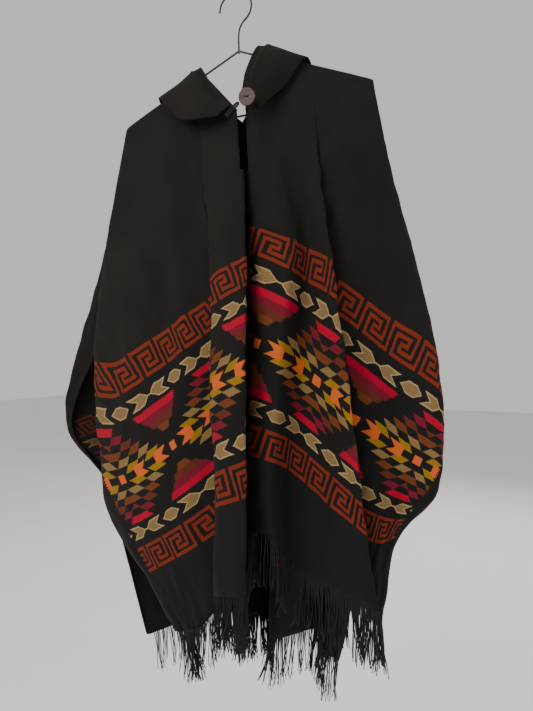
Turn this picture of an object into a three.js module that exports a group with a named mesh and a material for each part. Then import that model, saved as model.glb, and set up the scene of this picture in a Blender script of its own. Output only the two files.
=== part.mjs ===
// Hooded Andean poncho hanging on a wire hanger.
// Millimetres, +Z up, X across the shoulders, -Y is the front of the garment.
// The origin is the inside top of the hanger's hook, where a rail carries it.
import * as THREE from 'three';
import * as BufferGeometryUtils from 'three/addons/utils/BufferGeometryUtils.js';

// ---- driving sizes -------------------------------------------------------
const clothWall = 2.4;          // brushed woven cloth
const seamGap = 0.3;            // between pieces that meet at a seam
const wireRadius = 1.5;         // hanger wire
const hangerHalfWidth = 210;
const hangerNeckZ = -93;        // where the arms leave the neck
const hangerTipZ = -185;
const hangerBarZ = -197;
const hookInnerRadius = 26;
const hookMouthAngle = 200;     // degrees of the hook's round part
const frontLength = 760;        // shoulder to hem along the cloth
const backLength = 915;
const fringeLength = 80;
const wireClearance = 3.4;      // how far the cloth stands off the wire's middle
const slitLength = 130;         // open part of the front slit, below its top
const buttonRadius = 12.5;
const buttonThickness = 3.5;
const cordRadius = 1.6;
const colours = {
  cloth: 0x1c1a19, fringe: 0x171516, hood: 0x1d1b1a, button: 0x5f4636, cord: 0x121212, wire: 0x15171a,
};

// ---- fold tables ---------------------------------------------------------
// One row for each fold line that hangs from the shoulder line, left to right as
// the wearer's front is faced. x, y and z are its places at the cloth levels.
const frontLevels = [0, 140, 290, 466, 642, frontLength];
const frontFolds = [
  { fold: 'left edge', x: [-225, -232, -238, -245, -140, -75], y: [6, 8, 4, -18, -40, -58],
    z: [-340, -440, -590, -812, -932, -997] },
  { fold: 'left side ridge', x: [-210, -250, -265, -225, -130, -62], y: [0, -8, -18, -32, -50, -62],
    z: [-185, -400, -590, -795, -922, -992] },
  { fold: 'left outer roll', x: [-172, -195, -195, -160, -88, -45], y: [0, -18, -45, -56, -60, -64],
    z: [-168, -370, -590, -770, -895, -985] },
  { fold: 'left inner roll', x: [-137, -130, -120, -75, -40, -25], y: [0, -30, -62, -72, -68, -68],
    z: [-153, -345, -555, -715, -865, -975] },
  { fold: 'left under part', x: [-92, -52, -22, -6, 12, 8], y: [0, -34, -62, -64, -68, -68],
    z: [-133, -328, -498, -660, -828, -940] },
  { fold: 'left under turn', x: [-78, -36, -8, 27, 52, 47], y: [0, -36, -62, -68, -66, -66],
    z: [-127, -324, -480, -645, -812, -928] },
  { fold: 'left lap', x: [-66, -25, -5, 5, 20, 15], y: [-3, -44, -74, -98, -106, -106],
    z: [-119, -320, -465, -625, -790, -910] },
  { fold: 'centre left ridge', x: [20, 35, 55, 65, 70, 70], y: [-47, -64, -94, -116, -124, -126],
    z: [-215, -320, -445, -595, -765, -892] },
  { fold: 'pleat left side', x: [22, 32, 26, 20, 22, 18], y: [-44, -54, -54, -54, -56, -58],
    z: [-216, -320, -440, -600, -772, -895] },
  { fold: 'pleat depth', x: [24, 36, 30, 18, 14, 12], y: [-42, -47, -22, 8, 24, 26],
    z: [-218, -320, -430, -595, -765, -878] },
  { fold: 'pleat right side', x: [30, 40, 46, 44, 42, 40], y: [-44, -49, -38, -30, -26, -24],
    z: [-216, -318, -415, -575, -742, -850] },
  { fold: 'centre right edge', x: [35, 42, 50, 56, 52, 47], y: [-47, -52, -62, -72, -74, -74],
    z: [-215, -315, -395, -560, -720, -828] },
  { fold: 'right ridge', x: [34, 65, 110, 105, 95, 95], y: [-34, -60, -86, -96, -98, -98],
    z: [-170, -305, -420, -575, -720, -820] },
  { fold: 'right valley', x: [36, 90, 130, 125, 120, 125], y: [-3, -42, -62, -64, -64, -62],
    z: [-106, -275, -430, -595, -745, -875] },
  { fold: 'right lap', x: [115, 140, 175, 205, 224, 241], y: [0, -45, -88, -110, -114, -114],
    z: [-143, -300, -455, -645, -795, -885] },
  { fold: 'right under turn', x: [128, 140, 157, 181, 193, 199], y: [0, -38, -64, -70, -71, -70],
    z: [-149, -302, -465, -655, -805, -898] },
  { fold: 'right under part', x: [142, 152, 178, 211, 222, 224], y: [0, -36, -60, -66, -70, -62],
    z: [-155, -305, -478, -668, -818, -909] },
  { fold: 'right outer roll', x: [172, 200, 245, 256, 236, 232], y: [0, -28, -52, -56, -62, -62],
    z: [-168, -310, -530, -700, -820, -908] },
  { fold: 'right side ridge', x: [210, 240, 300, 302, 252, 235], y: [0, -10, -27, -40, -50, -54],
    z: [-185, -330, -575, -730, -815, -908] },
  { fold: 'right edge', x: [222, 232, 262, 296, 246, 228], y: [6, 8, 2, -18, -36, -46],
    z: [-345, -450, -600, -750, -825, -918] },
];
const backLevels = [0, 200, 420, 640, 800, backLength];
const backFolds = [
  { fold: 'left edge', x: [-225, -250, -390, -300, -260, -220], y: [6, 20, 58, 50, 58, 64],
    z: [-340, -480, -700, -815, -955, -1095] },
  { fold: 'left side ridge', x: [-210, -284, -402, -296, -252, -211], y: [0, 24, 62, 64, 70, 74],
    z: [-185, -392, -690, -815, -955, -1095] },
  { fold: 'left outer roll', x: [-165, -215, -290, -230, -196, -164], y: [0, 52, 98, 108, 110, 110],
    z: [-165, -375, -640, -795, -945, -1075] },
  { fold: 'left back ridge', x: [-115, -125, -150, -130, -116, -104], y: [0, 62, 120, 150, 156, 156],
    z: [-143, -355, -580, -775, -925, -1030] },
  { fold: 'left back valley', x: [-75, -75, -80, -70, -60, -50], y: [3, 38, 44, 44, 44, 44],
    z: [-122, -335, -550, -755, -900, -1000] },
  { fold: 'back left of centre', x: [-45, -42, -48, -52, -52, -52], y: [34, 84, 124, 146, 150, 150],
    z: [-165, -370, -575, -765, -890, -975] },
  { fold: 'back centre', x: [-15, -15, -20, -25, -25, -25], y: [44, 44, 30, 32, 38, 42],
    z: [-190, -385, -590, -785, -915, -1010] },
  { fold: 'back right of centre', x: [18, 18, 10, 0, -5, -5], y: [30, 80, 124, 142, 140, 136],
    z: [-160, -365, -578, -785, -945, -1048] },
  { fold: 'right back valley', x: [65, 72, 75, 62, 48, 38], y: [3, 36, 40, 40, 42, 44],
    z: [-118, -325, -540, -755, -925, -1040] },
  { fold: 'right back ridge', x: [112, 125, 138, 120, 98, 82], y: [0, 62, 118, 144, 148, 144],
    z: [-142, -345, -560, -775, -945, -1062] },
  { fold: 'right outer roll', x: [165, 190, 212, 175, 135, 108], y: [0, 48, 80, 90, 90, 88],
    z: [-165, -360, -570, -780, -950, -1068] },
  { fold: 'right side ridge', x: [210, 242, 270, 228, 162, 134], y: [0, 26, 62, 92, 98, 94],
    z: [-185, -392, -640, -800, -960, -1078] },
  { fold: 'right edge', x: [222, 232, 262, 222, 156, 128], y: [6, 20, 48, 84, 92, 88],
    z: [-345, -480, -652, -806, -962, -1082] },
];

// ---- interpolation -------------------------------------------------------
function curveThrough(values, position, stops) {
  let index = 0;
  while (index < stops.length - 2 && position > stops[index + 1]) {
    index += 1;
  }
  const before = Math.max(index - 1, 0);
  const after = Math.min(index + 2, values.length - 1);
  const span = stops[index + 1] - stops[index];
  const t = (position - stops[index]) / span;
  const slopeFrom = (a, b) => (values[b] - values[a]) / Math.max(stops[b] - stops[a], 1e-9) * span;
  const leaving = slopeFrom(before, index + 1);
  const arriving = slopeFrom(index, after);
  const t2 = t * t;
  const t3 = t2 * t;
  return (2 * t3 - 3 * t2 + 1) * values[index] + (t3 - 2 * t2 + t) * leaving
    + (3 * t2 - 2 * t3) * values[index + 1] + (t3 - t2) * arriving;
}

function straightThrough(values, position) {
  const index = Math.min(Math.floor(position), values.length - 2);
  return values[index] + (values[index + 1] - values[index]) * (position - index);
}

// The cloth at a place along the folds (0 .. rows - 1) and at a cloth level.
// The shoulder line itself runs straight from row to row, so front and back meet on it.
function clothPoint(folds, levels, side, place, level) {
  const stops = folds.map((row, index) => index);
  const overWire = 1 - Math.exp(-level / 3);
  const reached = Math.max(level - 3 * overWire, 0);
  const coordinate = (axis) => {
    const column = levels.map((unused, k) => {
      const values = folds.map((row) => row[axis][k]);
      return k === 0 ? straightThrough(values, place) : curveThrough(values, place, stops);
    });
    return curveThrough(column, reached, levels);
  };
  const stand = side * (seamGap / 2 + wireClearance * overWire);
  return new THREE.Vector3(coordinate('x'), coordinate('y') + stand, coordinate('z') + wireClearance);
}

// ---- closed walls --------------------------------------------------------
function gridNormals(points) {
  const rows = points.length;
  const columns = points[0].length;
  return points.map((line, i) => line.map((point, j) => {
    const along = points[Math.min(i + 1, rows - 1)][j].clone().sub(points[Math.max(i - 1, 0)][j]);
    const down = line[Math.min(j + 1, columns - 1)].clone().sub(line[Math.max(j - 1, 0)]);
    return along.cross(down).normalize();
  }));
}

// A wall of even thickness on a grid of points. keep(i, j) says which cells are cloth.
function wall(points, thickness, keep = () => true) {
  const normals = gridNormals(points);
  const rows = points.length;
  const columns = points[0].length;
  const face = (sign) => points.map((line, i) => line.map((point, j) => (
    point.clone().addScaledVector(normals[i][j], sign * thickness / 2))));
  const outer = face(1);
  const inner = face(-1);
  const triangles = [];
  const quad = (a, b, c, d) => triangles.push(a, b, c, a, c, d);
  const cloth = (i, j) => i >= 0 && j >= 0 && i < rows - 1 && j < columns - 1 && keep(i, j);
  for (let i = 0; i < rows - 1; i += 1) {
    for (let j = 0; j < columns - 1; j += 1) {
      if (!cloth(i, j)) continue;
      quad(outer[i][j], outer[i + 1][j], outer[i + 1][j + 1], outer[i][j + 1]);
      quad(inner[i][j], inner[i][j + 1], inner[i + 1][j + 1], inner[i + 1][j]);
      if (!cloth(i - 1, j)) quad(outer[i][j], outer[i][j + 1], inner[i][j + 1], inner[i][j]);
      if (!cloth(i + 1, j)) quad(inner[i + 1][j], inner[i + 1][j + 1], outer[i + 1][j + 1], outer[i + 1][j]);
      if (!cloth(i, j - 1)) quad(inner[i][j], inner[i + 1][j], outer[i + 1][j], outer[i][j]);
      if (!cloth(i, j + 1)) quad(outer[i][j + 1], outer[i + 1][j + 1], inner[i + 1][j + 1], inner[i][j + 1]);
    }
  }
  const geometry = new THREE.BufferGeometry();
  geometry.setAttribute('position', new THREE.Float32BufferAttribute(triangles.flatMap((p) => p.toArray()), 3));
  return BufferGeometryUtils.mergeVertices(geometry, 1e-4);
}

function spread(from, to, steps) {
  return Array.from({ length: steps + 1 }, (unused, k) => from + (to - from) * k / steps);
}

// ---- front and back panels with their fringes ----------------------------
const stepsPerFold = 3;
const shoulderLevels = [0.4, 1.5, 4, 9, 22];

function panelGrid(folds, levels, side, levelList) {
  const places = spread(0, folds.length - 1, (folds.length - 1) * stepsPerFold);
  return places.map((place) => levelList.map((level) => clothPoint(folds, levels, side, place, level)));
}

const frontLevelList = [...shoulderLevels, ...spread(50, slitLength, 2), ...spread(180, frontLength, 10)];
const backLevelList = [...shoulderLevels, ...spread(60, backLength, 13)];
const frontGrid = panelGrid(frontFolds, frontLevels, -1, frontLevelList);
const backGrid = panelGrid(backFolds, backLevels, 1, backLevelList);

const slitFirst = frontFolds.findIndex((row) => row.fold === 'centre left ridge') * stepsPerFold;
const slitLast = frontFolds.findIndex((row) => row.fold === 'centre right edge') * stepsPerFold;
const slitFoot = frontLevelList.indexOf(slitLength);
const inSlit = (i, j) => i >= slitFirst && i < slitLast && j < slitFoot;

// The fringe hangs on from the hem as one plain strip of its reach, half way between
// the cloth's own direction and straight down. A steep stretch of hem needs a wider gap.
function fringeGrid(grid) {
  const last = grid[0].length - 1;
  return grid.map((line, i) => {
    const hem = line[last];
    const lean = hem.clone().sub(line[last - 1]).normalize();
    lean.add(new THREE.Vector3(0, 0, -1)).normalize();
    const step = grid[Math.min(i + 1, grid.length - 1)][last].clone().sub(grid[Math.max(i - 1, 0)][last]);
    const steepness = Math.min(step.length() / Math.max(Math.hypot(step.x, step.y), 1), 4);
    const drops = [6 * seamGap * steepness, fringeLength / 2, fringeLength];
    return drops.map((drop) => hem.clone().addScaledVector(lean, drop));
  });
}

// ---- hood ----------------------------------------------------------------
// Rows run from the face opening's edge outwards to the fold that lies on the shoulder;
// places go from the button, over the arm of the hanger, and down the back to the point.
const hoodPlaces = [0, 1, 2, 3, 4, 5];
const hoodSteps = 8;
const hoodStepsAlong = 20;
const hoodLeftRows = [
  { row: 'face edge', x: [14, -28, -66, -62, -40, -16], y: [-58, -34, -4, 44, 84, 112],
    z: [-207, -160, -109, -152, -222, -300] },
  { row: 'casing', x: [8, -42, -80, -80, -58, -16], y: [-61, -40, -4, 48, 92, 122],
    z: [-212, -173, -112, -160, -244, -330] },
  { row: 'roll', x: [0, -60, -112, -112, -84, -16], y: [-62, -43, -2, 60, 112, 150],
    z: [-217, -191, -128, -190, -300, -395] },
  { row: 'shoulder fold', x: [-5, -80, -146, -136, -98, -16], y: [-62, -44, -2, 74, 126, 162],
    z: [-221, -205, -147, -232, -352, -450] },
];
const hoodRightRows = [
  { row: 'face edge', x: [32, 30, 36, 34, 12, -12], y: [-58, -38, 0, 44, 84, 112],
    z: [-194, -148, -95, -142, -220, -300] },
  { row: 'casing', x: [43, 48, 52, 50, 26, -12], y: [-61, -42, 0, 48, 92, 122],
    z: [-201, -152, -98, -150, -242, -330] },
  { row: 'roll', x: [53, 70, 84, 82, 52, -12], y: [-60, -40, -2, 60, 112, 150],
    z: [-210, -164, -114, -182, -298, -395] },
  { row: 'shoulder fold', x: [60, 90, 116, 108, 66, -12], y: [-56, -30, -2, 74, 126, 162],
    z: [-218, -178, -133, -226, -350, -450] },
];

function hoodGrid(rows) {
  const stops = rows.map((row, index) => index);
  return spread(0, rows.length - 1, hoodSteps).map((place) => spread(0, 5, hoodStepsAlong).map((along) => {
    const coordinate = (axis) => curveThrough(
      rows.map((row) => curveThrough(row[axis], along, hoodPlaces)), place, stops);
    return new THREE.Vector3(coordinate('x'), coordinate('y'), coordinate('z'));
  }));
}

// ---- hanger --------------------------------------------------------------
function tubeAlong(points, radius, sides, steps) {
  const section = new THREE.Shape(spread(0, 1, sides).slice(0, sides).map((turn) => new THREE.Vector2(
    radius * Math.cos(turn * 2 * Math.PI), radius * Math.sin(turn * 2 * Math.PI))));
  const path = points.length === 2
    ? new THREE.LineCurve3(points[0], points[1])
    : new THREE.CatmullRomCurve3(points);
  const geometry = new THREE.ExtrudeGeometry(section, { steps, extrudePath: path, bevelEnabled: false });
  geometry.deleteAttribute('normal');
  geometry.deleteAttribute('uv');
  return BufferGeometryUtils.mergeVertices(geometry, 1e-4);
}

const hookRadius = hookInnerRadius + wireRadius;
const hookCentre = new THREE.Vector3(-6, 0, wireRadius - hookRadius);
function hookPoints() {
  const arc = spread(0, hookMouthAngle, 14).map((degrees) => {
    const angle = (180 - degrees) * Math.PI / 180;
    return new THREE.Vector3(hookCentre.x + hookRadius * Math.cos(angle), 0,
      hookCentre.z + hookRadius * Math.sin(angle));
  });
  const shank = [[16, -42], [4, -54], [0, -66], [0, hangerNeckZ + 4]];
  return [...arc, ...shank.map(([x, z]) => new THREE.Vector3(x, 0, z))];
}

function armEnds(side) {
  const neck = new THREE.Vector3(side * 3, 0, hangerNeckZ - 1);
  const tip = new THREE.Vector3(side * (hangerHalfWidth - 4), 0, hangerTipZ + 1);
  return [neck, tip];
}

const barEnds = [-1, 1].map((side) => new THREE.Vector3(side * (hangerHalfWidth - 6), 0, hangerBarZ));

// ---- button and its loop -------------------------------------------------
const buttonPlace = new THREE.Vector3(48, -74, -208);
function buttonGeometry() {
  const profile = [[0, -1], [0.86, -1], [1, -0.55], [1, 0.55], [0.86, 1], [0, 0.75]].map(([r, h]) => (
    new THREE.Vector2(r * buttonRadius, h * buttonThickness / 2)));
  const geometry = new THREE.LatheGeometry(profile, 28);
  geometry.deleteAttribute('normal');
  geometry.deleteAttribute('uv');
  return BufferGeometryUtils.mergeVertices(geometry, 1e-4);
}
const loopRoute = [[12, -67, -226], [19, -71, -223], [27, -74, -219], [33, -75, -216]];

// ---- the object ----------------------------------------------------------
const poncho = new THREE.Group();
function add(name, geometry, colour, roughness, metalness = 0) {
  const material = new THREE.MeshStandardMaterial({ color: colour, roughness, metalness });
  const mesh = new THREE.Mesh(geometry, material);
  mesh.name = name;
  poncho.add(mesh);
  return mesh;
}

add('front_panel', wall(frontGrid, clothWall, (i, j) => !inSlit(i, j)), colours.cloth, 0.95);
add('back_panel', wall(backGrid.slice().reverse(), clothWall), colours.cloth, 0.95);
const leftHem = fringeGrid(frontGrid).slice(0, slitFirst + 1);
const rightHem = fringeGrid(frontGrid).slice(slitLast + 1);
const backHem = fringeGrid(backGrid).slice(stepsPerFold, backGrid.length - stepsPerFold - 2);
add('front_fringe_left', wall(leftHem, clothWall), colours.fringe, 0.95);
add('front_fringe_right', wall(rightHem, clothWall), colours.fringe, 0.95);
add('back_fringe', wall(backHem.reverse(), clothWall), colours.fringe, 0.95);
add('hood_left', wall(hoodGrid(hoodLeftRows).reverse(), clothWall), colours.hood, 0.95);
add('hood_right', wall(hoodGrid(hoodRightRows), clothWall), colours.hood, 0.95);
add('hanger_hook', tubeAlong(hookPoints(), wireRadius, 10, 44), colours.wire, 0.4, 0.6);
add('hanger_arm_left', tubeAlong(armEnds(-1), wireRadius, 10, 1), colours.wire, 0.4, 0.6);
add('hanger_arm_right', tubeAlong(armEnds(1), wireRadius, 10, 1), colours.wire, 0.4, 0.6);
add('hanger_bar', tubeAlong(barEnds, wireRadius, 10, 1), colours.wire, 0.4, 0.6);
const button = add('button', buttonGeometry(), colours.button, 0.5);
button.position.copy(buttonPlace);
button.rotation.set(0.15, 0, 0);
add('button_loop', tubeAlong(loopRoute.map((p) => new THREE.Vector3(...p)), cordRadius, 8, 8), colours.cord, 0.8);

export default poncho;
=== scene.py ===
"""A hooded Andean poncho on a wire hanger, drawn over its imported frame.

All tables and sizes here are in millimetres, in the frame's own axes: +X across the
shoulders, -Y the front of the garment, +Z up. Meshes are made in metres.
"""

import math

import bpy
import numpy as np
from mathutils import Matrix, Vector


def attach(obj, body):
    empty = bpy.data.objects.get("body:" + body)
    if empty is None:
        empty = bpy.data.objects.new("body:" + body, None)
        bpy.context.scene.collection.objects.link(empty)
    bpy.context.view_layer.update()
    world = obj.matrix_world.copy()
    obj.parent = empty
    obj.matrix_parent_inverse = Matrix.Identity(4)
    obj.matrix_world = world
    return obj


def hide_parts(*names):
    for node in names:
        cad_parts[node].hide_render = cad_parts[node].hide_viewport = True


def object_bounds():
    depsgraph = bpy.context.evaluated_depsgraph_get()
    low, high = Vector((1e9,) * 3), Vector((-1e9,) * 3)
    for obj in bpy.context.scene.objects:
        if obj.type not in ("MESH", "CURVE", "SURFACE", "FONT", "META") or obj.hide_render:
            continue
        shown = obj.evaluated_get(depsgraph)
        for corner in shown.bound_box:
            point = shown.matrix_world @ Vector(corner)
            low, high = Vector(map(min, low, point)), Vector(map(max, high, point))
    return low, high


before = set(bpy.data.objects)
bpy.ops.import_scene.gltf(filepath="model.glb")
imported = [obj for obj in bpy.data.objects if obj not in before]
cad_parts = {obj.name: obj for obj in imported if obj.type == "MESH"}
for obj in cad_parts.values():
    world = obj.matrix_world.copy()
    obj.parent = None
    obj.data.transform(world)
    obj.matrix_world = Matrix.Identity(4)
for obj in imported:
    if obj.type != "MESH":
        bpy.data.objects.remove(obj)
CAD_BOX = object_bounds()
MM = 0.001
BODY = "root"
CUT_MAP = "cut"                 # the UV map that holds the flat cloth's own measures
HALF_WIDTH = 560                # of the cloth, selvedge to selvedge
FRONT_LENGTH = 760
BACK_LENGTH = 915

bl_info = {
    "name": "Hooded poncho",
    "version": (1, 0, 0),
    "blender": (4, 5, 0),
    "location": "3D View > Sidebar > Poncho",
    "description": "Builds a hooded woven poncho on its wire hanger",
    "category": "Add Mesh",
}

# ---- fold tables -----------------------------------------------------------
# A row is a fold line that hangs from the shoulder line. x, y and z are its places at
# the cloth levels, and u is where it lies across the flat cloth, from its middle.
FRONT_LEVELS = (0, 140, 290, 466, 642, FRONT_LENGTH)
FRONT_FOLDS = (
    dict(fold="left edge", x=(-225, -232, -238, -245, -140, -75), y=(6, 8, 4, -18, -40, -58),
         z=(-340, -440, -590, -812, -932, -997), u=(-560, -560, -560, -560, -560, -560)),
    dict(fold="left side ridge", x=(-210, -250, -265, -225, -130, -62), y=(0, -8, -18, -32, -50, -62),
         z=(-185, -400, -590, -795, -922, -992), u=(-175, -320, -450, -545, -552, -552)),
    dict(fold="left outer roll", x=(-172, -195, -195, -160, -88, -45), y=(0, -18, -45, -56, -60, -64),
         z=(-168, -370, -590, -770, -895, -985), u=(-130, -270, -400, -480, -490, -500)),
    dict(fold="left inner roll", x=(-137, -130, -120, -75, -40, -25), y=(0, -30, -62, -72, -68, -68),
         z=(-153, -345, -555, -715, -865, -975), u=(-90, -210, -330, -380, -430, -455)),
    dict(fold="left under part", x=(-92, -52, -22, -6, 12, 8), y=(0, -34, -62, -64, -68, -68),
         z=(-133, -328, -498, -660, -828, -940), u=(-30, -95, -180, -285, -385, -420)),
    dict(fold="left under turn", x=(-78, -36, -8, 27, 52, 47), y=(0, -36, -62, -68, -66, -66),
         z=(-127, -324, -480, -645, -812, -928), u=(-25, -88, -172, -257, -330, -360)),
    dict(fold="left lap", x=(-66, -25, -5, 5, 20, 15), y=(-3, -44, -74, -98, -106, -106),
         z=(-119, -320, -465, -625, -790, -910), u=(-12, -78, -165, -228, -273, -302)),
    dict(fold="centre left ridge", x=(20, 35, 55, 65, 70, 70), y=(-47, -64, -94, -116, -124, -126),
         z=(-215, -320, -445, -595, -765, -892), u=(0, -45, -96, -144, -203, -224)),
    dict(fold="pleat left side", x=(22, 32, 26, 20, 22, 18), y=(-44, -54, -54, -54, -56, -58),
         z=(-216, -320, -440, -600, -772, -895), u=(0, -30, -60, -90, -125, -140)),
    dict(fold="pleat depth", x=(24, 36, 30, 18, 14, 12), y=(-42, -47, -22, 8, 24, 26),
         z=(-218, -320, -430, -595, -765, -878), u=(0, 0, 0, 0, 0, 0)),
    dict(fold="pleat right side", x=(30, 40, 46, 44, 42, 40), y=(-44, -49, -38, -30, -26, -24),
         z=(-216, -318, -415, -575, -742, -850), u=(0, 18, 35, 60, 90, 105)),
    dict(fold="centre right edge", x=(35, 42, 50, 56, 52, 47), y=(-47, -52, -62, -72, -74, -74),
         z=(-215, -315, -395, -560, -720, -828), u=(0, 30, 62, 110, 156, 187)),
    dict(fold="right ridge", x=(34, 65, 110, 105, 95, 95), y=(-34, -60, -86, -96, -98, -98),
         z=(-170, -305, -420, -575, -720, -820), u=(0, 60, 110, 160, 195, 215)),
    dict(fold="right valley", x=(36, 90, 130, 125, 120, 125), y=(-3, -42, -62, -64, -64, -62),
         z=(-106, -275, -430, -595, -745, -875), u=(10, 90, 162, 208, 260, 285)),
    dict(fold="right lap", x=(115, 140, 175, 205, 224, 241), y=(0, -45, -88, -110, -114, -114),
         z=(-143, -300, -455, -645, -795, -885), u=(60, 140, 227, 330, 405, 455)),
    dict(fold="right under turn", x=(128, 140, 157, 181, 193, 199), y=(0, -38, -64, -70, -71, -70),
         z=(-149, -302, -465, -655, -805, -898), u=(70, 150, 251, 358, 440, 492)),
    dict(fold="right under part", x=(142, 152, 178, 211, 222, 224), y=(0, -36, -60, -66, -70, -62),
         z=(-155, -305, -478, -668, -818, -909), u=(80, 165, 275, 388, 475, 530)),
    dict(fold="right outer roll", x=(172, 200, 245, 256, 236, 232), y=(0, -28, -52, -56, -62, -62),
         z=(-168, -310, -530, -700, -820, -908), u=(130, 245, 370, 460, 515, 545)),
    dict(fold="right side ridge", x=(210, 240, 300, 302, 252, 235), y=(0, -10, -27, -40, -50, -54),
         z=(-185, -330, -575, -730, -815, -908), u=(190, 325, 465, 550, 556, 558)),
    dict(fold="right edge", x=(222, 232, 262, 296, 246, 228), y=(6, 8, 2, -18, -36, -46),
         z=(-345, -450, -600, -750, -825, -918), u=(560, 560, 560, 560, 560, 560)),
)
BACK_LEVELS = (0, 200, 420, 640, 800, BACK_LENGTH)
BACK_FOLDS = (
    dict(fold="left edge", x=(-225, -250, -390, -300, -260, -220), y=(6, 20, 58, 50, 58, 64),
         z=(-340, -480, -700, -815, -955, -1095), u=(-560, -560, -560, -560, -560, -560)),
    dict(fold="left side ridge", x=(-210, -284, -402, -296, -252, -211), y=(0, 24, 62, 64, 70, 74),
         z=(-185, -392, -690, -815, -955, -1095), u=(-175, -335, -515, -556, -557, -558)),
    dict(fold="left outer roll", x=(-165, -215, -290, -230, -196, -164), y=(0, 52, 98, 108, 110, 110),
         z=(-165, -375, -640, -795, -945, -1075), u=(-130, -260, -400, -470, -500, -510)),
    dict(fold="left back ridge", x=(-115, -125, -150, -130, -116, -104), y=(0, 62, 120, 150, 156, 156),
         z=(-143, -355, -580, -775, -925, -1030), u=(-80, -180, -300, -370, -420, -440)),
    dict(fold="left back valley", x=(-75, -75, -80, -70, -60, -50), y=(3, 38, 44, 44, 44, 44),
         z=(-122, -335, -550, -755, -900, -1000), u=(-45, -110, -200, -270, -320, -350)),
    dict(fold="back left of centre", x=(-45, -42, -48, -52, -52, -52), y=(34, 84, 124, 146, 150, 150),
         z=(-165, -370, -575, -765, -890, -975), u=(-10, -50, -100, -140, -170, -190)),
    dict(fold="back centre", x=(-15, -15, -20, -25, -25, -25), y=(44, 44, 30, 32, 38, 42),
         z=(-190, -385, -590, -785, -915, -1010), u=(0, 0, 0, 0, 0, 0)),
    dict(fold="back right of centre", x=(18, 18, 10, 0, -5, -5), y=(30, 80, 124, 142, 140, 136),
         z=(-160, -365, -578, -785, -945, -1048), u=(15, 60, 120, 170, 200, 220)),
    dict(fold="right back valley", x=(65, 72, 75, 62, 48, 38), y=(3, 36, 40, 40, 42, 44),
         z=(-118, -325, -540, -755, -925, -1040), u=(45, 120, 210, 280, 320, 345)),
    dict(fold="right back ridge", x=(112, 125, 138, 120, 98, 82), y=(0, 62, 118, 144, 148, 144),
         z=(-142, -345, -560, -775, -945, -1062), u=(85, 190, 310, 390, 425, 440)),
    dict(fold="right outer roll", x=(165, 190, 212, 175, 135, 108), y=(0, 48, 80, 90, 90, 88),
         z=(-165, -360, -570, -780, -950, -1068), u=(130, 265, 405, 475, 505, 515)),
    dict(fold="right side ridge", x=(210, 242, 270, 228, 162, 134), y=(0, 26, 62, 92, 98, 94),
         z=(-185, -392, -640, -800, -960, -1078), u=(175, 335, 515, 553, 555, 556)),
    dict(fold="right edge", x=(222, 232, 262, 222, 156, 128), y=(6, 20, 48, 84, 92, 88),
         z=(-345, -480, -652, -806, -962, -1082), u=(560, 560, 560, 560, 560, 560)),
)
# Rows run from the face opening's edge outwards to the fold that lies on the shoulder;
# places go from the button, over the hanger's arm, and down the back to the point.
HOOD_PLACES = (0, 1, 2, 3, 4, 5)
HOOD_LEFT = (
    dict(row="face edge", x=(14, -28, -66, -62, -40, -16), y=(-58, -34, -4, 44, 84, 112),
         z=(-207, -160, -109, -152, -222, -300)),
    dict(row="casing", x=(8, -42, -80, -80, -58, -16), y=(-61, -40, -4, 48, 92, 122),
         z=(-212, -173, -112, -160, -244, -330)),
    dict(row="roll", x=(0, -60, -112, -112, -84, -16), y=(-62, -43, -2, 60, 112, 150),
         z=(-217, -191, -128, -190, -300, -395)),
    dict(row="shoulder fold", x=(-5, -80, -146, -136, -98, -16), y=(-62, -44, -2, 74, 126, 162),
         z=(-221, -205, -147, -232, -352, -450)),
)
HOOD_RIGHT = (
    dict(row="face edge", x=(32, 30, 36, 34, 12, -12), y=(-58, -38, 0, 44, 84, 112),
         z=(-194, -148, -95, -142, -220, -300)),
    dict(row="casing", x=(43, 48, 52, 50, 26, -12), y=(-61, -42, 0, 48, 92, 122),
         z=(-201, -152, -98, -150, -242, -330)),
    dict(row="roll", x=(53, 70, 84, 82, 52, -12), y=(-60, -40, -2, 60, 112, 150),
         z=(-210, -164, -114, -182, -298, -395)),
    dict(row="shoulder fold", x=(60, 90, 116, 108, 66, -12), y=(-56, -30, -2, 74, 126, 162),
         z=(-218, -178, -133, -226, -350, -450)),
)
# Soft creases on the cloth: start and end are (u, level) on the flat cloth, depth is how
# far the cloth stands out, or in where it is below 0, and width is across the crease.
FRONT_CREASES = (
    dict(start=(120, 60), end=(330, 420), depth=5, width=22),
    dict(start=(200, 80), end=(430, 500), depth=-4, width=26),
    dict(start=(150, 20), end=(260, 240), depth=4, width=14),
    dict(start=(60, 120), end=(130, 330), depth=4, width=16),
    dict(start=(320, 180), end=(480, 470), depth=4, width=20),
    dict(start=(-130, 40), end=(-330, 420), depth=4, width=22),
    dict(start=(-200, 90), end=(-430, 480), depth=-4, width=26),
    dict(start=(-60, 90), end=(-170, 340), depth=4, width=18),
    dict(start=(-300, 150), end=(-480, 420), depth=3, width=18),
    dict(start=(-250, 560), end=(-300, 752), depth=4, width=20),
    dict(start=(-330, 600), end=(-380, 752), depth=-3, width=16),
    dict(start=(160, 590), end=(190, 752), depth=3, width=16),
    dict(start=(330, 600), end=(350, 752), depth=4, width=20),
    dict(start=(420, 560), end=(470, 752), depth=-3, width=18),
)
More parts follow.
